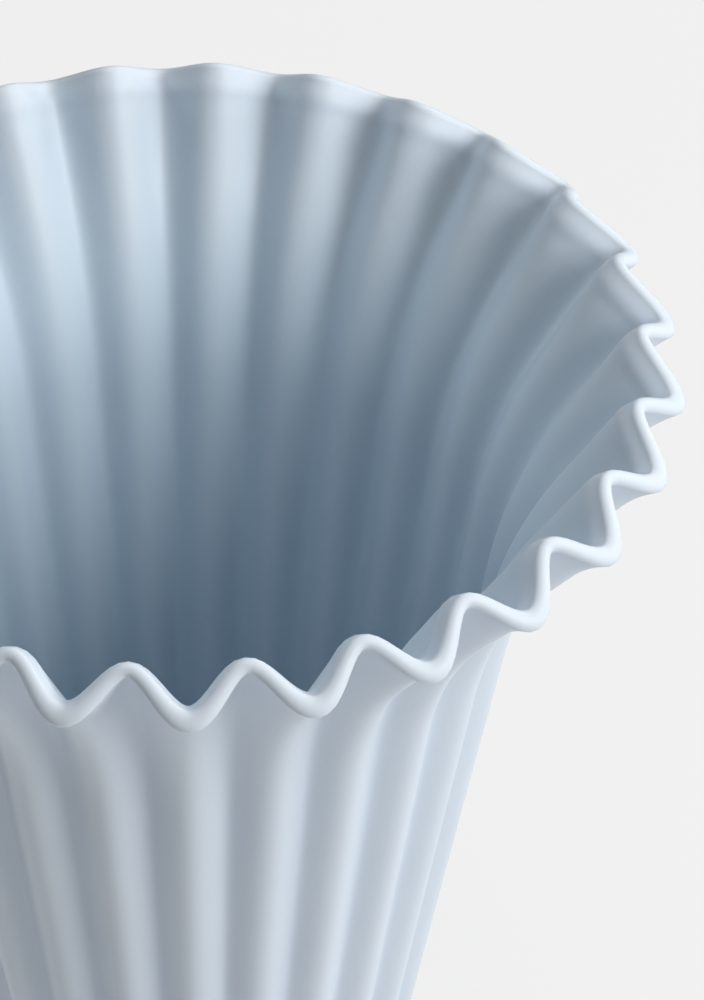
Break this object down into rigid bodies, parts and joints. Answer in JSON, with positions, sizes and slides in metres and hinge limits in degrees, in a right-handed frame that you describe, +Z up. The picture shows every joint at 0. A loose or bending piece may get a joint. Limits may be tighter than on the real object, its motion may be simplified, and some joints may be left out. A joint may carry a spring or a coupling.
{
  "type": "pleated flower vase",
  "caption": "Tall ceramic flower vase with a tapering wall folded into soft vertical pleats, a wide flared mouth with a ruffled round lip, and a recessed foot ring on small rubber pads.",
  "frame": {"origin": "on the table under the vase's axis, at the bottom of the pads", "axes": "+Z up along the vase's axis, -Y to the front of the picture, where one pleat's crest faces"},
  "size_m": [0.2424, 0.244, 0.2708],
  "materials": {
    "glaze": "pale blue satin glaze over white clay, smooth, a little lighter on the lip",
    "bare_clay": "unglazed fired clay, fine and dry, wiped clean of glaze",
    "pad_rubber": "soft grey rubber, matt"
  },
  "bodies": {
    "root": {"pleated_wall": "glaze", "floor_disc": "glaze", "foot_ring": "bare_clay", "foot_pad_1": "pad_rubber", "foot_pad_2": "pad_rubber", "foot_pad_3": "pad_rubber", "foot_pad_4": "pad_rubber"}
  },
  "joints": []
}
